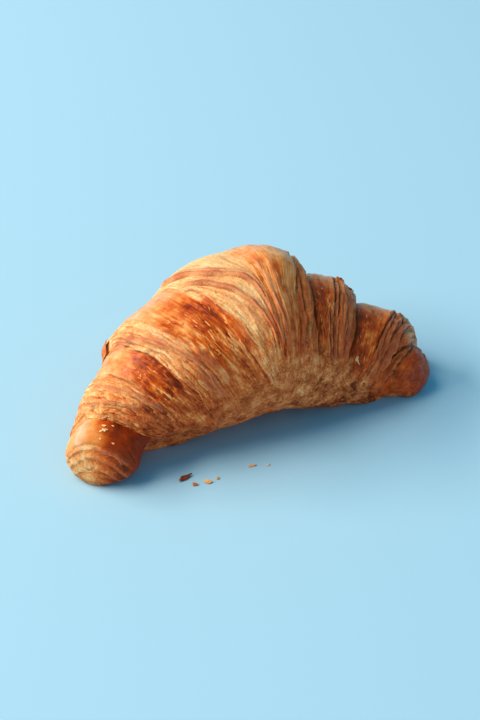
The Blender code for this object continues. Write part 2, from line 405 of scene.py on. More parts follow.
fine_strength = ease(0.45 + 1.1 * noise(along_wraps(4.0, 9.0), 18)) * (~is_end) * (1.0 - 0.5 * wide_cut)
rise += cut * 0.24 * (fine_step - 0.35) * fine_strength * calm_cut * off_base * (1.0 - belly)

# Folds: the free edges of single sheets. Each runs around the roll at a place that changes with the angle,
# rises towards its edge and drops into a crack beyond it. Its sheet lies on the side of the middle wrap.
# Each row: height of the edge, how far back it rises, depth of the crack, how pink the edge is, then
# (angle, place) along it.
FOLDS = (
    (1.90, 1.9, 0.95, 1.0, ((42, -20), (50, -18.5), (60, -15.8), (69, -13.3), (80, -9.5), (87, -6.6), (91, -4), (96, -1),
                            (105, 2), (112, 3.2), (120, 4), (127, 4.8), (134, 5.8), (145, 7), (152, 7.8))),
    (0.55, 0.9, 0.45, 0.8, ((46, -17.6), (58, -14), (68, -11.2), (79, -7.4), (87, -4), (94, 0.5), (100, 2.6))),
    (1.10, 1.4, 0.60, 0.9, ((94, 1.6), (98, 2.5), (108, 4.5), (116, 5), (125, 5), (133, 5.5), (142, 7), (148, 8))),
    (0.60, 3.0, 0.50, 0.2, ((62, 0.0), (72, 2.5), (80, 4), (88, 5), (95, 5.8), (102, 6.2))),
    (0.90, 1.5, 0.65, 0.7, ((80, 7), (92, 8), (104, 8.5), (114, 8.5), (122, 9), (134, 10), (146, 11), (154, 11.5))),
    (0.60, 1.6, 0.50, 0.4, ((84, 11.5), (100, 12), (115, 12.2), (130, 12.6), (142, 13))),
    (1.80, 1.6, 1.00, 1.0, ((66, -20), (78, -16.4), (88, -12.2), (97, -9), (103, -7), (110, -5.2), (120, -2.8),
                            (126, -1.6), (135, 0.6), (144, 2.4), (150, 3.4))),
    (0.45, 1.6, 0.30, 0.4, ((96, -13.2), (106, -11.2), (114, -9), (122, -7), (131, -5), (140, -3), (147, -1))),
    (1.00, 1.3, 0.80, 0.0, ((70, -21.5), (82, -17.5), (95, -15.8), (105, -14.6), (111, -14), (118, -12), (127, -11),
                            (134, -10.3), (140, -9), (147, -7), (154, -5.5))),
    (0.50, 2.5, 0.45, 0.3, ((46, -43.5), (58, -42.5), (75, -41.8), (90, -40.5), (103, -38.5), (118, -35.5), (132, -32))),
    (1.00, 2.2, 0.65, 0.8, ((36, -47.3), (50, -46), (65, -45.2), (78, -43.9), (92, -42), (106, -40), (120, -36.5),
                            (128, -34), (137, -32.5), (150, -30.5), (165, -28), (172, -27))),
    (0.80, 0.9, 0.70, 0.0, ((66, -46.2), (76, -45.4), (88, -44), (98, -42.6), (104, -41.6), (114, -40.8), (122, -40))),
    (0.45, 1.4, 0.30, 0.5, ((104, -35.5), (116, -33.5), (128, -31), (140, -28.5), (152, -26), (164, -24))),
    (0.45, 1.4, 0.30, 0.5, ((112, -38.4), (124, -36), (136, -34.3), (150, -33), (164, -31), (172, -30))),
    (0.70, 1.2, 0.90, 0.2, ((30, -57.4), (42, -56.6), (55, -55.9), (70, -55.1), (82, -54.6), (96, -53.8), (113, -53.2),
                            (127, -51.8))),
    (0.50, 1.4, 0.50, 0.2, ((40, -60.8), (63, -59.5), (74, -57.9), (87, -57.3), (98, -57))),
    (0.50, 1.4, 0.60, 0.2, ((30, -68.4), (40, -67.6), (67, -66.8), (89, -65.4), (104, -63.2), (118, -61.2))),
    (0.80, 2.2, 0.45, 0.7, ((48, -62), (60, -61.5), (80, -60.8), (97, -58.7), (108, -57.3), (115, -56), (125, -55),
                            (142, -51.5), (155, -49))),
    (0.70, 1.8, 0.50, 0.4, ((34, -67), (45, -66.5), (60, -66), (75, -65), (90, -64.5), (100, -63), (115, -60.5),
                            (130, -58))),
    (0.40, 1.2, 0.50, 0.3, ((-6, -77.6), (10, -77.9), (24, -78.1), (45, -78.8), (67, -78.8))),
    (0.40, 1.2, 0.50, 0.3, ((104, -79.2), (114, -78.9), (138, -77.8), (168, -77.2))),
    (1.00, 1.6, 2.20, 0.2, ((10, 20.5), (40, 21.5), (60, 22.6), (82, 24), (97, 24.2), (107, 24.3), (120, 24.5),
                            (132, 24.5), (145, 22.5), (152, 21.5))),
    (0.70, 1.2, 1.00, 0.2, ((54, 26.4), (80, 27), (88, 27.5), (103, 28.5), (116, 28.7), (128, 28.5), (142, 26.5))),
    (0.55, 0.9, 0.80, 0.1, ((108, 37.9), (118, 37.5), (135, 36.5), (150, 36.5), (168, 37), (174, 37.4))),
    (0.55, 0.9, 0.80, 0.1, ((100, 40.6), (118, 39.5), (135, 38.2), (150, 38), (166, 38.6), (173, 39))),
    (0.60, 1.0, 0.70, 0.3, ((72, 42.7), (100, 42), (120, 41), (140, 40.2), (160, 40.5), (168, 41))),
    (0.65, 1.0, 0.70, 0.4, ((56, 45.2), (90, 45), (120, 45), (140, 43.5), (155, 42.5), (162, 42.6))),
    (0.60, 1.1, 0.70, 0.5, ((56, 48.2), (85, 48), (110, 48), (130, 46.5), (145, 46), (154, 46))),
    (0.60, 1.2, 0.80, 0.3, ((46, 63.4), (65, 63.9), (92, 64.2), (117, 63.4), (137, 61), (161, 56.2), (172, 54))),
    (0.80, 1.2, 0.90, 0.5, ((44, 66), (78, 66.3), (107, 66.1), (129, 64.9), (154, 60.3), (172, 56))),
    (0.80, 1.1, 0.90, 0.5, ((44, 68.6), (77, 69), (107, 69.1), (137, 67.1), (167, 60.7), (180, 58))),
    (0.80, 1.1, 0.90, 0.2, ((38, 70.4), (79, 72.6), (119, 72), (151, 70.6), (170, 67.6), (196, 63))),
)
MIDDLE_WRAP = 14.0
pink, crack, gap, gap_strength = 0.0 * place, 0.0 * place, 9.0 + 0.0 * place, 0.0 * place
wavering = 0.28 * noise(along_wraps(6.0, 3.2), 19) + 0.45 * noise(along_wraps(9.0, 10.0), 20)
for number, (lift, reach, depth, pinkness, way) in enumerate(FOLDS):
    depth = depth * (0.85 if way[0][1] < MIDDLE_WRAP else 1.0)
    angles, fold_places = np.array(way, dtype=float).T
    path = np.interp(ANGLE, angles, fold_places)
    slope = np.gradient(path, np.radians(ANGLE) * np.maximum(size.mean(axis=0), 9.0))
    side = 1.0 if fold_places.mean() < MIDDLE_WRAP else -1.0
    distance = side * (place - path) * np.where(band == 0, 1.9, 1.0) / np.sqrt(1.0 + slope**2) + wavering
    strength = ease((ANGLE - angles[0]) / 9.0) * ease((angles[-1] - ANGLE) / 9.0)
    strength = strength * (0.60 + 0.70 * ease(0.5 + 0.9 * noise(
        np.stack([0.0 * ANGLE + 9.7 * number, 6.0 * turn, 0.0 * ANGLE], axis=-1), 22))) * off_base
    on_sheet = lift * np.exp(-np.maximum(distance, 0.0) / reach)
    in_crack = -depth * np.exp(np.minimum(distance, 0.0) / (0.45 + 0.25 * depth))
    strength = strength * (1.0 - belly)
    rise += strength * (in_crack + (on_sheet - in_crack) * ease(distance / 0.9 + 0.5))
    pink = np.maximum(pink, strength * pinkness * np.exp(-(((distance - 0.8) / 0.9) ** 2)))
    nearer = (np.abs(distance) < np.abs(gap)) & (strength > 0.05)
    gap = np.where(nearer, distance, gap)
    gap_strength = np.where(nearer, strength * min(1.4 * depth, 1.0), gap_strength)
    crack = np.maximum(crack, strength * np.minimum(depth, 1.2) * np.exp(-(((distance + 0.35) / (0.2 + 0.3 * depth)) ** 2)))

# Thin strands over everything, finest on the cut layers, and deep ridges on the drawn-in right side.
fine = ridges(along_wraps(1.0, 9.0), 21, 2)
rise += 0.22 * (fine - 0.5) * off_base * (0.25 + 0.75 * cut * calm_cut) * (1.0 - belly) * (band > 0)
right_cut = cut * ease((place - 20.0) / 4.0) * (1.0 - is_end)
ridge = ridges(along_wraps(1.9, 45.0), 23, 2)
rise += 1.10 * (ridge - 0.45) * right_cut * (1.0 - 0.6 * low_down) * off_base * (1.0 - belly)

# At the foot of the left cut faces the last sheet ends in a thin edge on the next skin; on the right the
# layers meet the next skin in a crease.
at_foot = crisp * np.where(band < 7, cut * 0.35 * np.exp(-from_foot / 1.4), -0.80 * np.exp(-from_foot / 0.9))
rise += at_foot * np.where(wide_cut, 1.0 - ease((ANGLE - 92.0) / 12.0), 1.0)

# Skins: broad wrinkles along the wrap, torn flaky strokes and small blisters.
rise += skin * 0.34 * clouds(along_wraps(4.5, 13.0), 25, 2) * off_base
peel = skin * ease((ANGLE - 78.0) / 24.0) * (1.0 - belly) * ease(0.65 + 1.4 * noise(along_wraps(6.0, 10.0), 28))
peel = peel * np.where((band <= 1) | (band >= 13), 0.0, np.where(band == 7, 0.25, 1.0))
torn = noise(along_wraps(1.5, 8.0), 27)
rise += 0.30 * ease((torn - 0.10) / 0.25) * peel * off_base
blister = ease((noise(points / 1.7, 33) - 0.25) / 0.4) * ease((noise(points / 8.0, 35) + 0.05) / 0.35)
rise += skin * 0.34 * blister * (1.0 - 0.6 * low_down) * off_base

# Strands at the front, where the wraps run together, and the rough belly below them.
front = ease((ANGLE - 96.0) / 30.0) * (1.0 - ease((ANGLE - 176.0) / 20.0)) * np.where(band <= 1, 0.0, 1.0)
strand = ridges(along_wraps(2.0, 12.0), 44, 2)
rise += 0.70 * (strand - 0.45) * front * (0.40 + 0.60 * cut) * (1.0 - belly)
rough = clouds(points / 3.0, 51, 3)
rise += 0.45 * rough * np.maximum(belly, 0.25) * off_base
pit = ease((noise(points / 1.7, 53) - 0.32) / 0.3) * ease((noise(points / 7.0, 55) - 0.02) / 0.3)
rise -= 0.7 * pit * np.maximum(belly, 0.3 * cut) * off_base

plain_surface = points.copy()
points = points + normal * rise[..., None]

# The base is flat on the tray, with a rounded edge.
height = points[..., 2]
rounded = (height + BASE_EDGE) ** 2 / (4.0 * BASE_EDGE)
points[..., 2] = np.where(height > BASE_EDGE, height, np.where(height < -BASE_EDGE, 0.0, rounded))
plain = plain_surface.reshape(-1, 3)
points[..., :2] -= 0.5 * (plain.min(axis=0) + plain.max(axis=0))[:2]

# What the material reads at every point. The skin's colour fades out unevenly over the lip and ends sharply
# at the foot; on the wide cut face it ends at the last fold.
at_end = (band == 0) | (band >= 13)
over_lip = np.where(cut > 0.5, -from_lip, from_lip) + 1.4 * clouds(along_wraps(2.2, 7.0), 58, 2)
skin_tint = ease(0.5 + over_lip / np.where(low_down > 0.3, 4.0, 2.0))
skin_tint = np.where((band <= 1) | (band >= 12), skin, skin_tint)
skin_tint = np.where((band == 2) | (band == 12), np.clip(skin + ease(0.5 + over_lip / 2.0), 0.0, 1.0), skin_tint)
left_share = (place - 4.0) / 17.0
skin_tint = np.where(band == 7, ease(0.66 + 0.9 * left_share + 0.5 * clouds(along_wraps(3.0, 9.0), 59, 2)), skin_tint)
raggedness = 1.2 + 2.2 * ease((ANGLE - 96.0) / 40.0)
over_foot = np.where(cut > 0.5, -from_foot, from_foot) + raggedness * clouds(along_wraps(1.3, 6.0), 60, 2)
left_foot = (band >= 2) & (band <= 6)
near_edge = left_foot & (from_foot < from_lip)
skin_tint = np.where(near_edge, ease(0.5 + over_foot / 1.5), skin_tint)
last_fold = np.interp(ANGLE, *np.array(FOLDS[8][4], dtype=float).T) + 0.3 * noise(along_wraps(6.0, 3.2), 19)
last_fold = last_fold + 0.9 * raggedness * clouds(along_wraps(1.3, 6.0), 64, 2)
beyond_fold = ease(0.5 + (last_fold - place) / 1.3) * ease((ANGLE - 90.0) / 8.0) * (1.0 - ease((ANGLE - 134.0) / 20.0))
skin_tint = np.where(wide_cut, np.maximum(skin_tint, beyond_fold), skin_tint)
skin_tint = np.where(right_cut * (1.0 - belly) > 0.0, np.maximum(skin_tint, 0.55 * right_cut * (1.0 - belly)), skin_tint)

skin_tint = skin_tint * np.where(at_end | (band == 1), 1.0, 1.0 - 0.65 * ease((ANGLE - 136.0) / 24.0))
skin_tint = skin_tint * np.where(band <= 1, 0.45 + 0.55 * ease((ANGLE - 34.0) / 26.0), 1.0)

leaf = from_lip / np.where(band == 2, 2.3, np.where(band == 4, 1.8, 1.15)) + 0.7 * clouds(along_wraps(7.0, 18.0), 12, 2) + 0.12 * noise(along_wraps(3.0, 4.0), 13)
leaf = np.where(wide_cut, (27.0 - fanned) / 1.5 + 0.6 * clouds(along_wraps(7.0, 18.0), 12, 2), leaf)
leaf = np.where(band == 0, 1.5 * flat_layers, leaf)
leaf = np.where((skin > 0.5) & (band > 0), flow[..., 0] / 1.3, leaf)
leafy = 0.12 + 0.88 * ease(0.5 + 1.4 * noise(along_wraps(4.0, 8.0), 18))
leafy = leafy * off_base * (1.0 - belly) * np.where(cut > 0.5, 0.55 + 0.45 * calm_cut, 0.45 * front)
leafy = np.where(band == 0, 0.10, leafy)
leafy = leafy * (0.4 + 0.6 * ease((from_lip - 0.2) / 0.5)) * np.where(wide_cut, 0.65, 1.0)

line = np.maximum(pink, np.where(band == 0, 0.6, 0.45) * cut * ease((layer_part - 0.62) / 0.2) * ease((layer_strength - 0.6) / 0.6))
# Painted shade in the recesses: at the drop of each layer step, under the lips, in the right-hand creases, in cracks
# and pits, and between ridges and strands.
recess_shade = np.where(band == 0, 0.16, 0.45) * np.clip(1.0 - layer_part / 0.10, 0.0, 1.0) * cut * calm_cut * ease((layer_strength - 0.7) / 0.6)
right_foot = np.exp(-from_foot / 0.7) * crisp * ragged * (band > 7)
recess_shade = np.maximum(recess_shade, 0.7 * right_foot)
recess_shade = np.maximum(recess_shade, 0.6 * cut * np.exp(-from_lip / 0.4) * ragged_lip * crisp * (band > 0))
recess_shade = np.maximum(recess_shade, np.maximum((0.5 + 0.35 * ease((place - 9.0) / 9.0)) * crack, pit * np.maximum(0.7 * belly, 0.25 * cut)))
recess_shade = np.maximum(recess_shade, 0.62 * right_cut * ease((0.36 - ridge) / 0.25) * (1.0 - 0.6 * low_down) * (1.0 - belly))
recess_shade = np.maximum(recess_shade, 0.35 * ease((0.38 - strand) / 0.3) * front * (1.0 - belly))
recess_shade = np.clip(recess_shade, 0.0, 1.0)
tone = [browned[:, i][:, None] for i in range(3)]
toned = tone[0] + (tone[1] - tone[0]) * ease((ANGLE - 62.0) / 36.0) + (tone[2] - tone[1]) * np.where(band <= 1, ease((ANGLE - 96.0) / 30.0), ease((ANGLE - 108.0) / 42.0))
near_foot = skin * np.exp(-((from_foot / 7.5) ** 2)) * ease((ANGLE - 76.0) / 24.0) * (band < 12)
near_foot = near_foot * (1.0 - 0.75 * ease((ANGLE - 114.0) / 22.0))
blotch = clouds(along_wraps(4.0, 8.0), 71, 3)
mottled = skin * ease((ANGLE - 70.0) / 25.0)
toned = toned + (0.5 * (tone[1] + tone[2]) + 0.04 - tone[0]) * ease((30.0 - ANGLE) / 45.0) * (band >= 2)
bake = toned + 0.26 * near_foot - 0.10 * skin * np.exp(-from_lip / 4.0) * (band < 7)
bake = bake + (0.10 + 0.26 * mottled * (band > 2)) * blotch + 0.08 * clouds(points / 4.0, 72, 3)
bake = bake + (0.52 + 0.28 * blotch - bake) * wide_cut * beyond_fold
end_tone = np.where(band == 0, 0.21 + 0.55 * ease((to_front + 3.0) / 12.5), 0.52 + 0.24 * ease((place - 70.0) / 9.0) - 0.14 * ease((ANGLE - 152.0) / 20.0) + 0.14 * ease((ANGLE - 126.0) / 30.0) * (1.0 - ease((place - 73.0) / 3.0)))
end_tone = end_tone + 0.10 * ease((9.0 - plain_surface[..., 2]) / 8.0) + 0.08 * blotch
end_tone = end_tone + (band == 0) * skin * (0.06 + 0.30 * ease((ANGLE - 50.0) / 40.0))
# Painted shade on the layers of the left tip: darker at the foot of each layer step, and where the steps are higher.
painted_layer_shade = 0.26 * (0.5 - layer_part) + 0.10 * (layer_strength - 0.85)
end_tone = end_tone + (band == 0) * cut * (0.03 + painted_layer_shade)
bake = np.where(at_end, end_tone, bake)
bake = np.where(band == 0, bake + (toned[band[:, 0] == 1][:1] - bake) * skin, bake)
belly_tone = 0.36 + 0.24 * ease((ANGLE - 160.0) / 38.0) + 0.12 * ease((place - 24.0) / 16.0) + 0.10 * ease((-ANGLE - 10.0) / 30.0)
bake = bake + (belly_tone - bake) * belly
gloss = skin_tint * (1.0 - belly) * (0.22 + 0.78 * (1.0 - ease((ANGLE - 72.0) / 26.0)))
quiet = np.maximum(0.35 * gloss, 0.72 * wide_cut * (1.0 - ease((ANGLE - 124.0) / 30.0)) * (1.0 - beyond_fold))
quiet = np.where(at_end | (band == 1), np.where(band == 14, 0.2, 0.65), quiet)
quiet = np.where(band == 0, 1.0, quiet)
# Painted sheen: a pale highlight on the skins left of the middle, high on the back side, strongest on the left tip.
painted_sheen = np.where(band <= 1, 1.0, np.where(band == 3, 0.12, 0.40)) * (place < 4.0) * skin_tint
painted_sheen = painted_sheen * np.exp(-(((ANGLE - 57.0) / 13.0) ** 2)) * ease(0.6 + 0.8 * clouds(along_wraps(3.0, 6.0), 66, 2))


def grid_faces(rows, columns):
    """Corner numbers of a grid of quads that closes round its columns, with the rows' first and last rings
    each drawn together into a fan of triangles round one point."""
    row = np.arange(rows - 3)[:, None] * columns + np.arange(columns)[None, :]
    beside = np.arange(rows - 3)[:, None] * columns + np.roll(np.arange(columns), -1)[None, :]
    quads = np.stack([row, row + columns, beside + columns, beside], axis=-1).reshape(-1, 4)
    ring, after = np.arange(columns), np.roll(np.arange(columns), -1)
    first_pole, last_pole = (rows - 2) * columns, (rows - 2) * columns + 1
    far = (rows - 3) * columns
    first_fan = np.stack([np.full(columns, first_pole), ring, after], axis=-1)
    last_fan = np.stack([np.full(columns, last_pole), far + after, far + ring], axis=-1)
    return quads, first_fan, last_fan


def ring_values(values):
    """Grid values as the mesh has them: all inner rings, then the means of the first and the last ring."""
    inner = values[1:-1].reshape(-1, *values.shape[2:])
    return np.concatenate([inner, values[:1].mean(axis=1), values[-1:].mean(axis=1)])


quads, first_fan, last_fan = grid_faces(ROWS, AROUND)
mesh = bpy.data.meshes.new("croissant_crust")
vertices = ring_values(points) * MM
mesh.vertices.add(len(vertices))
mesh.vertices.foreach_set("co", vertices.ravel())
corners = np.concatenate([quads.ravel(), first_fan.ravel(), last_fan.ravel()])
sizes = np.concatenate([np.full(len(quads), 4), np.full(2 * AROUND, 3)])
starts = np.concatenate([[0], np.cumsum(sizes)[:-1]])
mesh.loops.add(len(corners))
mesh.loops.foreach_set("vertex_index", corners)
mesh.polygons.add(len(sizes))
mesh.polygons.foreach_set("loop_start", starts)
mesh.update(calc_edges=True)
mesh.validate()
mesh.shade_smooth()
read_by_material = {
    "skin": skin_tint, "bake": bake, "line": line, "recess_shade": recess_shade, "belly": belly, "gloss": gloss,
    "leaf": leaf, "leafy": leafy, "gap": np.clip(gap, -3.0, 3.0), "gap_strength": gap_strength, "right": ease((place - 9.0) / 9.0), "peel": peel, "front": front * (1.0 - belly) * (~at_end),
    "quiet": quiet, "painted_sheen": painted_sheen,
}
for name, values in read_by_material.items():
    layer = mesh.attributes.new(name, "FLOAT", "POINT")
    layer.data.foreach_set("value", ring_values(values[..., None]).ravel())

# UV map over the wraps: u runs along the roll, v around it from under the base.
column_of = np.arange(AROUND)
around_share = (ANGLE + 90.0) / 360.0
row_share = grain[:, 0] / walked


def corner_uv():
    """u and v of every face corner, with v carried on to 1 in the last column so that the seam is clean."""
    vertex_row = np.arange(ROWS - 2).repeat(AROUND) + 1
    vertex_column = np.tile(column_of, ROWS - 2)
    u = np.concatenate([row_share[vertex_row], [row_share[0], row_share[-1]]])
    v = np.concatenate([around_share[vertex_column], [0.5, 0.5]])
    uv = np.stack([u[corners], v[corners]], axis=-1)
    quad_columns = np.tile(column_of, ROWS - 3)
    is_last = quad_columns == AROUND - 1
    quad_uv = uv[: 4 * len(quads)].reshape(-1, 4, 2)
    quad_uv[is_last, 2:, 1] = 1.0
    fans = uv[4 * len(quads):].reshape(-1, 3, 2)
    pole = 0.5 * (around_share + np.append(around_share[1:], 1.0))
    fans[:AROUND, 0, 1] = pole
    fans[AROUND - 1, 2, 1] = 1.0
    fans[AROUND:, 0, 1] = pole
    fans[2 * AROUND - 1, 1, 1] = 1.0
    return uv


uv_map = mesh.uv_layers.new(name="OFBake")
uv_map.data.foreach_set("uv", corner_uv().ravel())

croissant = bpy.data.objects.new("croissant_crust", mesh)
bpy.context.scene.collection.objects.link(croissant)


def linear(red, green, blue):
    """Linear colour of a display colour given from 0 to 255."""
    values = np.array((red, green, blue)) / 255.0
    return tuple(np.where(values < 0.04045, values / 12.92, ((values + 0.055) / 1.055) ** 2.4)) + (1.0,)


def node(tree, kind_name, place_at, **settings):
    """A new node of the tree with its settings and input values."""
    new = tree.nodes.new(kind_name)
    new.location = place_at
    for name, value in settings.items():
        if hasattr(new, name):
            setattr(new, name, value)
        else:
            new.inputs[name.replace("_", " ")].default_value = value
    return new


def ramp(tree, place_at, stops):
    """A colour ramp with a colour at each of its positions."""
    new = tree.nodes.new("ShaderNodeValToRGB")
    new.location = place_at
    elements = new.color_ramp.elements
    while len(elements) < len(stops):
        elements.new(0.5)
    for element, (position, colour) in zip(elements, stops):
        element.position = position
        element.color = colour
    return new


crust = bpy.data.materials.new("baked_crust")
crust.use_nodes = True
tree = crust.node_tree
link = tree.links.new
shader = tree.nodes["Principled BSDF"]
shader.inputs["Metallic"].default_value = 0.0
shader.inputs["Specular IOR Level"].default_value = 0.10
shader.inputs["Coat Roughness"].default_value = 0.32
shader.inputs["Coat IOR"].default_value = 1.4


def attribute(name, height_at):
    """The factor output of one of the mesh's own attributes."""
    return node(tree, "ShaderNodeAttribute", (-1600, height_at), attribute_name=name).outputs["Fac"]


def maths(operation, first, second, place_at=(-900, 0), clamp=False):
    """Output of a Math node; each input is a number or an output."""
    new = tree.nodes.new("ShaderNodeMath")
    new.operation, new.use_clamp, new.location = operation, clamp, place_at
    for socket, value in zip(new.inputs, (first, second)):
        if isinstance(value, (int, float)):
            socket.default_value = value
        else:
            link(value, socket)
    return new.outputs[0]


def blend(factor, first, second, how="MIX", place_at=(-500, 0)):
    """Output of a colour Mix node."""
    new = tree.nodes.new("ShaderNodeMix")
    new.data_type, new.blend_type, new.location = "RGBA", how, place_at
    for socket, value in ((new.inputs[0], factor), (new.inputs[6], first), (new.inputs[7], second)):
        if isinstance(value, (int, float, tuple)):
            socket.default_value = value
        else:
            link(value, socket)
    return new.outputs[2]


skin_mask, bake_value, line_mask = attribute("skin", 600), attribute("bake", 400), attribute("line", 200)
recess_shade_mask, belly_mask = attribute("recess_shade", 0), attribute("belly", -200)
position = node(tree, "ShaderNodeTexCoord", (-2000, -500)).outputs["Object"]


def spots(scale, detail, height_at):
    """Factor of a noise texture read in the object's own coordinates."""
    new = node(tree, "ShaderNodeTexNoise", (-1600, height_at), Scale=scale, Detail=detail, Roughness=0.6)
    link(position, new.inputs["Vector"])
    return new.outputs["Fac"]


uv_node = node(tree, "ShaderNodeUVMap", (-2000, -900), uv_map="OFBake")


def wrap_noise(across, along, detail, height_at):
    """Factor of a noise read on the wraps: one unit is across millimetres from wrap to wrap, along round it."""
    stretch = node(tree, "ShaderNodeMapping", (-1800, height_at), vector_type="POINT")
    stretch.inputs["Scale"].default_value = (walked / across, 170.0 / along, 1.0)
    link(uv_node.outputs["UV"], stretch.inputs["Vector"])
    new = node(tree, "ShaderNodeTexNoise", (-1600, height_at), Scale=1.0, Detail=detail, Roughness=0.6, Distortion=0.4)
    link(stretch.outputs["Vector"], new.inputs["Vector"])
    return new.outputs["Fac"]




def centred(value, amount):
    """A 0 to 1 value taken to minus and plus half the amount."""
    return maths("MULTIPLY", maths("SUBTRACT", value, 0.5), amount)


def above(value, start, width):
    """0 below the start, rising to 1 over the width."""
    return maths("MULTIPLY", maths("SUBTRACT", value, start), 1.0 / width, clamp=True)


def summed(*values):
    """The values added up."""
    total = values[0]
    for value in values[1:]:
        total = maths("ADD", total, value)
    return total


def times(*values):
    """The values multiplied together."""
    total = values[0]
    for value in values[1:]:
        total = maths("MULTIPLY", total, value)
    return total


def without(value):
    """One less the value."""
    return maths("SUBTRACT", 1.0, value)


streaks = wrap_noise(1.1, 9.0, 3.0, -900)
strands = wrap_noise(1.5, 11.0, 2.0, -1100)
mottle = spots(300.0, 3.0, -400)
speck = spots(1500.0, 3.0, -600)
grain = spots(900.0, 4.0, -700)
front_mask = attribute("front", -1500)
gloss_mask = attribute("gloss", -1050)
right_mask = attribute("right", -1150)
# Strands at the front: paler crests, partly paler dough and partly painted light, and painted shade in the gaps
# between them.
strand_crest_light = times(above(strands, 0.53, 0.08), front_mask)
strand_gap_shade = times(above(without(strands), 0.54, 0.10), front_mask)

# Fine sheets on the cut faces: a saw tooth of the leaf coordinate, with painted shade where one sheet drops to the
# next and painted light towards each raised edge.
leafy = attribute("leafy", -800)
sheet_at = summed(attribute("leaf", -750), centred(wrap_noise(2.0, 14.0, 3.0, -1000), 1.6), centred(grain, 0.5))
sheet_part = maths("FRACT", sheet_at, 0.0)
sheet_gap_shade = times(without(above(sheet_part, 0.0, 0.20)), leafy)

# Torn flakes on the skins, long along the wraps.
peel = attribute("peel", -850)
pale_flake = times(above(wrap_noise(1.3, 6.0, 2.0, -1200), 0.57, 0.05), peel)
dark_flake = times(above(wrap_noise(1.9, 7.0, 2.0, -1300), 0.57, 0.08), peel)

# Cracks and thin crests along the free edges of single sheets: painted shade in the cracks, and paler crests that are
# partly a painted highlight.
gap_strength = attribute("gap_strength", -950)
gap_at = summed(attribute("gap", -980), centred(grain, 0.5))
crack_breaks = above(wrap_noise(2.0, 7.0, 3.0, -1400), 0.30, 0.18)
crack_line = times(above(maths("ABSOLUTE", summed(gap_at, 0.25), 0.0), 0.34, -0.26), gap_strength, crack_breaks)
pale_crest_and_highlight = times(above(maths("ABSOLUTE", summed(gap_at, -0.20), 0.0), 0.34, -0.22), gap_strength)

calm = without(attribute("quiet", -1550))
shifted = summed(bake_value, times(summed(centred(mottle, 0.7), centred(streaks, summed(0.55, times(skin_mask, 0.40))), centred(grain, 0.25)), calm))
# Painted shade where the sheets drop and painted light towards their raised edges.
cut_shift = summed(shifted, times(sheet_gap_shade, 0.32), times(centred(sheet_part, -0.26), leafy), centred(speck, 0.5), centred(grain, 0.45),
                   times(strand_crest_light, -0.12), times(strand_gap_shade, 0.10))
skin_shift = summed(shifted, times(dark_flake, 0.24), times(pale_flake, -0.40), times(sheet_gap_shade, 0.15),
                    times(strand_crest_light, summed(-0.36, times(right_mask, 0.24))), times(strand_gap_shade, 0.14))
cut_tone = ramp(tree, (-700, 500), (
    (0.0, linear(250, 206, 150)), (0.25, linear(240, 170, 102)), (0.5, linear(218, 114, 50)),
    (0.75, linear(172, 68, 26)), (1.0, linear(98, 42, 14))))
link(cut_shift, cut_tone.inputs["Fac"])
skin_tone = ramp(tree, (-700, 250), (
    (0.0, linear(244, 184, 120)), (0.25, linear(232, 138, 62)), (0.5, linear(204, 86, 16)),
    (0.75, linear(148, 48, 4)), (1.0, linear(84, 30, 8))))
link(skin_shift, skin_tone.inputs["Fac"])
belly_tone = ramp(tree, (-700, 0), (
    (0.0, linear(248, 184, 118)), (0.4, linear(222, 138, 78)), (0.7, linear(176, 94, 46)), (1.0, linear(110, 48, 24))))
belly_lines = wrap_noise(8.0, 1.5, 3.0, -1650)
link(summed(bake_value, centred(spots(120.0, 3.0, -650), 1.6), centred(mottle, 1.6), centred(grain, 1.0),
            centred(belly_lines, 0.15), centred(speck, 1.0)), belly_tone.inputs["Fac"])
colour = blend(skin_mask, cut_tone.outputs["Color"], skin_tone.outputs["Color"])
# Painted sheen blended over the skin colour.
colour = blend(times(attribute("painted_sheen", -1600), 0.95), colour, linear(238, 188, 158))
colour = blend(times(right_mask, 0.16), colour, linear(190, 84, 36))
colour = blend(belly_mask, colour, belly_tone.outputs["Color"])
colour = blend(times(belly_mask, without(right_mask), 0.30), colour, linear(206, 98, 44))
# Paler crests beside the cracks, partly a painted highlight.
colour = blend(times(pale_crest_and_highlight, summed(0.45, times(right_mask, -0.1))), colour, linear(248, 190, 124))
colour = blend(maths("MULTIPLY", line_mask, 1.1, clamp=True), colour, linear(200, 108, 72))
# Painted shade in the recesses and cracks, in dark browns.
recess_shade_tone = ramp(tree, (-700, -250), (
    (0.0, linear(202, 106, 56)), (0.6, linear(152, 70, 34)), (1.0, linear(120, 50, 28))))
recess_shade_all = maths("MAXIMUM", recess_shade_mask, times(crack_line, summed(0.48, times(right_mask, 0.52))))
link(recess_shade_all, recess_shade_tone.inputs["Fac"])
colour = blend(maths("MULTIPLY", recess_shade_all, 1.15, clamp=True), colour, recess_shade_tone.outputs["Color"])
pores = times(above(speck, 0.66, 0.12), without(skin_mask), 0.35)
colour = blend(pores, colour, linear(140, 78, 38))
link(colour, shader.inputs["Base Color"])

matt = summed(0.68, times(skin_mask, -0.30), times(belly_mask, 0.25), centred(mottle, 0.3))
link(matt, shader.inputs["Roughness"])
link(times(gloss_mask, 0.4), shader.inputs["Coat Weight"])
# Height in millimetres.
relief = summed(
    times(sheet_part, leafy, 0.22), times(streaks, 0.50, without(belly_mask), calm), times(mottle, summed(0.35, times(skin_mask, -0.20))),
    times(strands, 0.42, front_mask),
    times(speck, summed(0.20, times(skin_mask, -0.12))), times(grain, summed(0.26, times(belly_mask, 0.65), times(skin_mask, -0.10))),
    times(pale_flake, 0.28), times(crack_line, -0.22))
bump = node(tree, "ShaderNodeBump", (-300, -500), Strength=1.0, Distance=0.001)
link(relief, bump.inputs["Height"])
link(bump.outputs["Normal"], shader.inputs["Normal"])
croissant.data.materials.append(crust)

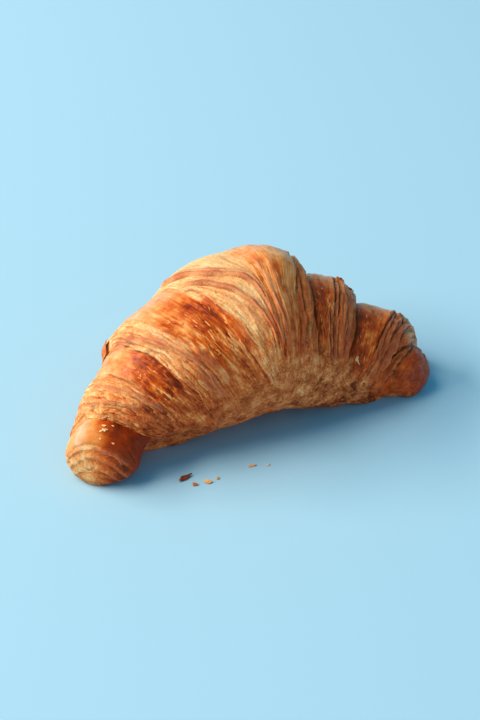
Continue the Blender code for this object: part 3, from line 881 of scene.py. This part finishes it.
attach(croissant, "root")
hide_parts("croissant")

# ---------------------------------------------------------------------------------------------------------
# Flakes: thin shards of the outermost sheets, torn loose along one edge by the rise in the oven. They lie on
# the lips and skins, still held by the dough at the other edge, and the largest hangs as a tongue.

crust_normal = outward_normals(points)
crust_normal = crust_normal * np.sign((crust_normal * normal).sum(axis=-1, keepdims=True))

# Each row: place, angle, length along the wrap and width in millimetres, turn in degrees, lift of the free
# end, taper towards it, and how brown it is.
FLAKES = (
    (10.6, 149.0, 9.0, 4.6, 2.0, 1.8, 0.70, 0.58),
    (2.2, 143.0, 5.6, 2.2, 22.0, 0.8, 0.6, 0.46),
    (-3.4, 147.0, 4.6, 1.4, 42.0, 0.6, 0.5, 0.50),
    (5.0, 150.5, 4.0, 1.2, 30.0, 0.5, 0.5, 0.60),
    (-44.6, 24.0, 8.0, 4.0, 4.0, 1.5, 0.3, 0.52),
    (-70.6, 101.0, 1.9, 0.9, 30.0, 0.3, 0.2, 0.12),
    (-72.4, 104.0, 1.8, 1.1, -24.0, 0.4, 0.2, 0.06),
    (-73.0, 100.0, 1.4, 0.7, 40.0, 0.3, 0.2, 0.10),
    (-71.6, 107.0, 1.5, 0.6, 10.0, 0.3, 0.2, 0.16),
    (-68.6, 114.0, 1.0, 0.6, 10.0, 0.2, 0.2, 0.14),
    (-75.8, 102.0, 0.9, 0.5, 0.0, 0.2, 0.2, 0.16),
    (-75.2, 126.0, 1.2, 0.6, 10.0, 0.2, 0.2, 0.24),
    (-19.2, 128.0, 7.0, 1.0, 4.0, 0.5, 0.6, 0.36),
    (-16.3, 133.0, 7.4, 1.0, 6.0, 0.5, 0.6, 0.32),
    (-13.4, 141.0, 6.4, 0.9, 8.0, 0.5, 0.6, 0.36),
    (-23.4, 122.0, 5.6, 0.8, 6.0, 0.4, 0.6, 0.38),
    (-22.0, 113.0, 4.0, 0.8, 4.0, 0.3, 0.6, 0.36),
    (-29.7, 99.0, 2.6, 0.7, 14.0, 0.3, 0.4, 0.32),
    (-25.4, 106.0, 3.4, 0.7, 8.0, 0.3, 0.4, 0.34),
    (50.4, 149.5, 3.0, 1.5, -30.0, 0.6, 0.5, 0.14),
    (51.0, 151.5, 2.4, 1.2, 30.0, 0.4, 0.5, 0.20),
    (43.0, 63.0, 3.6, 1.8, -4.0, 0.8, 0.4, 0.62),
    (47.4, 67.0, 2.6, 1.4, -10.0, 0.6, 0.3, 0.64),
    (65.2, 62.0, 3.0, 1.6, -8.0, 0.7, 0.4, 0.66),
    (67.0, 66.0, 2.2, 1.2, 12.0, 0.6, 0.3, 0.60),
    (24.2, 70.0, 3.4, 1.6, 0.0, 0.7, 0.4, 0.60),
)
SMALL_FLAKES = 55
shards = np.array(FLAKES)
few = np.stack([
    np.concatenate([random.uniform(-52, -46, 5), random.uniform(-34, -12, 28), random.uniform(50, 60, 12),
                    random.uniform(32, 38, 10)]),
    random.uniform(78.0, 150.0, SMALL_FLAKES), random.uniform(0.9, 2.4, SMALL_FLAKES),
    random.uniform(0.3, 0.6, SMALL_FLAKES), random.uniform(-20.0, 30.0, SMALL_FLAKES),
    random.uniform(0.1, 0.3, SMALL_FLAKES), np.full(SMALL_FLAKES, 0.3),
    random.uniform(0.36, 0.62, SMALL_FLAKES)], axis=-1)
shards = np.concatenate([shards, few])
FLAKE_THICKNESS = 0.12
RIM, RINGS = 14, (0.0, 0.4, 0.75, 1.0)


def on_crust(at_place, at_angle):
    """Points and normals of the crust at places and angles: blended from the four grid points round each."""
    column = np.interp(at_angle, ANGLE, np.arange(AROUND))
    left_column = np.floor(column).astype(int)
    found, faced = 0.0, 0.0
    for step_on, share_on in ((0, 1.0 - (column - left_column)), (1, column - left_column)):
        at_column = left_column + step_on
        low_row = (place[:, at_column] < at_place).sum(axis=0) - 1
        gap_here = place[low_row + 1, at_column] - place[low_row, at_column]
        up = np.clip((at_place - place[low_row, at_column]) / np.maximum(gap_here, 1e-6), 0.0, 1.0)
        for row, weight in ((low_row, share_on * (1.0 - up)), (low_row + 1, share_on * up)):
            found = found + points[row, at_column] * weight[:, None]
            faced = faced + crust_normal[row, at_column] * weight[:, None]
    return found, unit(faced)


def flake_mesh(name, shape_of, centre_at):
    """Mesh of many thin closed shards, each a disc of rings drawn to a ragged outline, with a top, a bottom and
    a rim. shape_of gives the outline's length, width, taper and seed; centre_at puts the disc's points in space."""
    spoke = np.arange(RIM) * 2.0 * math.pi / RIM
    ring, way = np.meshgrid(RINGS[1:], spoke, indexing="ij")
    ring, way = np.append(0.0, ring.ravel()), np.append(0.0, way.ravel())
    length_of, width_of, taper_of, seed_of = (column[:, None] for column in shape_of)
    outline = np.stack([1.4 * np.cos(way) + 0.0 * seed_of, 1.4 * np.sin(way) + 0.0 * seed_of, 7.7 * seed_of + 0.0 * way], axis=-1)
    reach = ring * (1.0 + 0.50 * noise(outline, 81) + 0.30 * noise(2.7 * outline, 82))
    along_it = reach * np.cos(way)
    across_it = reach * np.sin(way) * (1.0 - taper_of * np.clip(0.5 + 0.5 * along_it, 0.0, 1.0) ** 2)
    top, bottom = centre_at(along_it * length_of / 2.0, across_it * width_of / 2.0, along_it)
    per_side = len(ring)
    corner = np.concatenate([top, bottom], axis=1).reshape(-1, 3)
    around = np.arange(RIM)
    after = np.roll(around, -1)
    fan = np.stack([np.zeros(RIM, int), 1 + around, 1 + after], axis=-1)
    outer = 1 + (len(RINGS) - 2) * RIM
    quads = np.concatenate([
        np.stack([1 + k * RIM + around, 1 + (k + 1) * RIM + around, 1 + (k + 1) * RIM + after, 1 + k * RIM + after], axis=-1)
        for k in range(len(RINGS) - 2)])
    rim = np.stack([outer + around, per_side + outer + around, per_side + outer + after, outer + after], axis=-1)
    fans = np.concatenate([fan, fan[:, ::-1] + per_side])
    sides = np.concatenate([quads, quads[:, ::-1] + per_side, rim])
    start = 2 * per_side * np.arange(len(seed_of))[:, None, None]
    new = bpy.data.meshes.new(name)
    new.from_pydata((corner * MM).tolist(), [], (fans + start).reshape(-1, 3).tolist() + (sides + start).reshape(-1, 4).tolist())
    new.shade_smooth()
    new.update()
    return new


def held_by_crust(along_it, across_it, share_along):
    """Top and bottom points of each shard: laid on the crust at its place and angle, turned, and lifted by a
    power of the share of the way to the free end."""
    at_place, at_angle, lift_of = shards[:, 0:1], shards[:, 1:2], shards[:, 5:6]
    turned = np.radians(shards[:, 4:5])
    side = along_it * np.sin(turned) + across_it * np.cos(turned)
    onward_by = along_it * np.cos(turned) - across_it * np.sin(turned)
    radius_here = np.interp(at_place, (-80.0, -60.0, -30.0, 10.0, 30.0, 60.0, 78.0), (11.0, 18.0, 30.0, 34.0, 28.0, 21.0, 11.0))
    place_of = np.clip(at_place + side, -80.5, 78.0)
    angle_of = at_angle + np.degrees(onward_by / radius_here)
    found, faced = on_crust(place_of.ravel(), angle_of.ravel())
    found, faced = found.reshape(*along_it.shape, 3), faced.reshape(*along_it.shape, 3)
    middle_normal = unit(faced.mean(axis=1, keepdims=True))
    rise_of = 0.10 + lift_of * np.clip(0.5 + 0.5 * share_along, 0.0, 1.0) ** 1.6
    rise_of = rise_of + 0.10 * noise(found / 1.2, 83)
    top = found + middle_normal * rise_of[..., None]
    return top, top - middle_normal * FLAKE_THICKNESS


flakes_mesh = flake_mesh("croissant_flakes", (shards[:, 2], shards[:, 3], shards[:, 6], np.arange(len(shards)) * 1.0), held_by_crust)
points_each = 2 * (1 + (len(RINGS) - 1) * RIM)
tone_layer = flakes_mesh.attributes.new("tone", "FLOAT", "POINT")
tone_layer.data.foreach_set("value", np.repeat(shards[:, 7], points_each))
flakes = bpy.data.objects.new("croissant_flakes", flakes_mesh)
bpy.context.scene.collection.objects.link(flakes)

# A shard is golden and dry; browner ones come from the glazed skin.
shard = bpy.data.materials.new("dry_shard")
shard.use_nodes = True
tree = shard.node_tree
link = tree.links.new
shader = tree.nodes["Principled BSDF"]
shader.inputs["Roughness"].default_value = 0.5
shader.inputs["Specular IOR Level"].default_value = 0.3
position = node(tree, "ShaderNodeTexCoord", (-2000, -500)).outputs["Object"]
shard_noise = spots(700.0, 4.0, -200)
shard_tone = ramp(tree, (-400, 200), (
    (0.0, linear(252, 206, 148)), (0.3, linear(236, 154, 84)), (0.6, linear(196, 92, 34)), (1.0, linear(96, 38, 18))))
link(summed(attribute("tone", 200), centred(shard_noise, 0.7)), shard_tone.inputs["Fac"])
link(shard_tone.outputs["Color"], shader.inputs["Base Color"])
bump = node(tree, "ShaderNodeBump", (-300, -500), Strength=0.6, Distance=0.0004)
link(shard_noise, bump.inputs["Height"])
link(bump.outputs["Normal"], shader.inputs["Normal"])
flakes_mesh.materials.append(shard)

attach(flakes, "root")

# ---------------------------------------------------------------------------------------------------------
# Crumbs: six shards that have come off and lie loose in front of the left arm, each on its own edge or flat.

# Each row: x, y, length, width, turn in degrees, tilt, taper, how brown.
CRUMBS = (
    (-36.6, -39.8, 5.6, 2.3, 12.0, 0.34, 0.8, 0.92),
    (-34.9, -44.9, 2.0, 1.4, -30.0, 0.3, 0.3, 0.60),
    (-29.6, -45.6, 3.2, 1.7, -12.0, 0.4, 0.4, 0.22),
    (-25.2, -45.0, 1.5, 1.0, 30.0, 0.3, 0.3, 0.30),
    (-9.8, -43.6, 3.0, 1.0, -4.0, 0.3, 0.5, 0.30),
    (-4.0, -45.6, 1.5, 1.1, 40.0, 0.2, 0.3, 0.05),
)
loose = np.array(CRUMBS)


def on_the_table(along_it, across_it, share_along):
    """Top and bottom points of each crumb: turned on the table, with one side lifted and a little curl."""
    turned = np.radians(loose[:, 4:5])
    x = loose[:, 0:1] + along_it * np.cos(turned) - across_it * np.sin(turned)
    y = loose[:, 1:2] + along_it * np.sin(turned) + across_it * np.cos(turned)
    curl = 0.10 * (along_it / 2.0) ** 2 + loose[:, 5:6] * (across_it + loose[:, 3:4] / 1.4)
    bottom = np.stack([x, y, np.clip(curl, 0.0, None)], axis=-1)
    return bottom + np.array((0.0, 0.0, 0.35)), bottom


crumbs_mesh = flake_mesh("croissant_crumbs", (loose[:, 2], loose[:, 3], loose[:, 6], 3.0 + np.arange(len(loose))), on_the_table)
tone_layer = crumbs_mesh.attributes.new("tone", "FLOAT", "POINT")
tone_layer.data.foreach_set("value", np.repeat(loose[:, 7], points_each))
crumbs_mesh.materials.append(shard)
crumbs = bpy.data.objects.new("croissant_crumbs", crumbs_mesh)
bpy.context.scene.collection.objects.link(crumbs)
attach(crumbs, "root")

# ---------------------------------------------------------------------------------------------------------
# Floor: a plain, pale blue sheet of studio paper under the croissant, lit by one large soft lamp from behind
# on the left. The camera looks down on the croissant from the front.

floor_mesh = bpy.data.meshes.new("floor")
half = 4.0
floor_mesh.from_pydata([(-half, -half, 0.0), (half, -half, 0.0), (half, half, 0.0), (-half, half, 0.0)], [], [(0, 1, 2, 3)])
floor = bpy.data.objects.new("floor", floor_mesh)
bpy.context.scene.collection.objects.link(floor)
paper = bpy.data.materials.new("pale_paper")
paper.use_nodes = True
paper_shader = paper.node_tree.nodes["Principled BSDF"]
paper_shader.inputs["Base Color"].default_value = linear(167, 205, 226)
paper_shader.inputs["Roughness"].default_value = 0.9
paper_shader.inputs["Specular IOR Level"].default_value = 0.0
floor_mesh.materials.append(paper)

world = bpy.data.worlds.new("studio")
world.use_nodes = True
world.node_tree.nodes["Background"].inputs["Color"].default_value = linear(104, 210, 249)
world.node_tree.nodes["Background"].inputs["Strength"].default_value = 0.48
bpy.context.scene.world = world


def lamp(name, place_at, aim_at, size_of, power, colour_of):
    """A rectangular area lamp that faces a point."""
    data = bpy.data.lights.new(name, "AREA")
    data.shape, data.energy, data.color = "RECTANGLE", power, colour_of
    data.size, data.size_y = size_of
    new = bpy.data.objects.new(name, data)
    new.location = place_at
    new.rotation_euler = (Vector(aim_at) - Vector(place_at)).to_track_quat("-Z", "Y").to_euler()
    bpy.context.scene.collection.objects.link(new)
    return new


def studio_way(turned, raised):
    """Unit vector that points at a place turned from +Y towards -X and raised over the floor, in degrees."""
    turned, raised = math.radians(turned), math.radians(raised)
    return Vector((-math.sin(turned) * math.cos(raised), math.cos(turned) * math.cos(raised), math.sin(raised)))


lamp("key", studio_way(64.8, 36.5) * 2.9, (0.0, 0.0, 0.0), (2.8, 0.6), 111.0, (1.0, 0.89, 0.75))
lamp("top", studio_way(66.8, 64.0) * 1.8, (0.0, 0.0, 0.0), (0.9, 0.6), 13.0, (1.0, 0.84, 0.66))
lamp("card_right", studio_way(-150.0, 2.4) * 1.5, (0.0, 0.0, 0.04), (0.8, 0.1), 3.7, (1.0, 0.52, 0.31))
lamp("card_left", studio_way(162.0, 2.4) * 1.5, (0.0, 0.0, 0.04), (0.8, 0.1), 2.0, (1.0, 0.57, 0.37))

# The camera: an 80 mm lens, looking down from the front and a little from the left.
AZIMUTH, ELEVATION = math.radians(-23.2), math.radians(38.5)
AIM = Vector((0.012, 0.020, 0.0))
DISTANCE = 0.682
towards = Vector((math.sin(AZIMUTH) * math.cos(ELEVATION), -math.cos(AZIMUTH) * math.cos(ELEVATION), math.sin(ELEVATION)))
camera_data = bpy.data.cameras.new("camera")
camera_data.lens = 80.0
camera_data.sensor_fit = "VERTICAL"
camera_data.sensor_height = 36.0
camera_data.clip_start = 0.01
camera = bpy.data.objects.new("camera", camera_data)
camera.location = AIM + towards * DISTANCE
camera.rotation_euler = (-towards).to_track_quat("-Z", "Y").to_euler()
bpy.context.scene.collection.objects.link(camera)
bpy.context.scene.camera = camera
bpy.context.scene.view_settings.view_transform = "Standard"
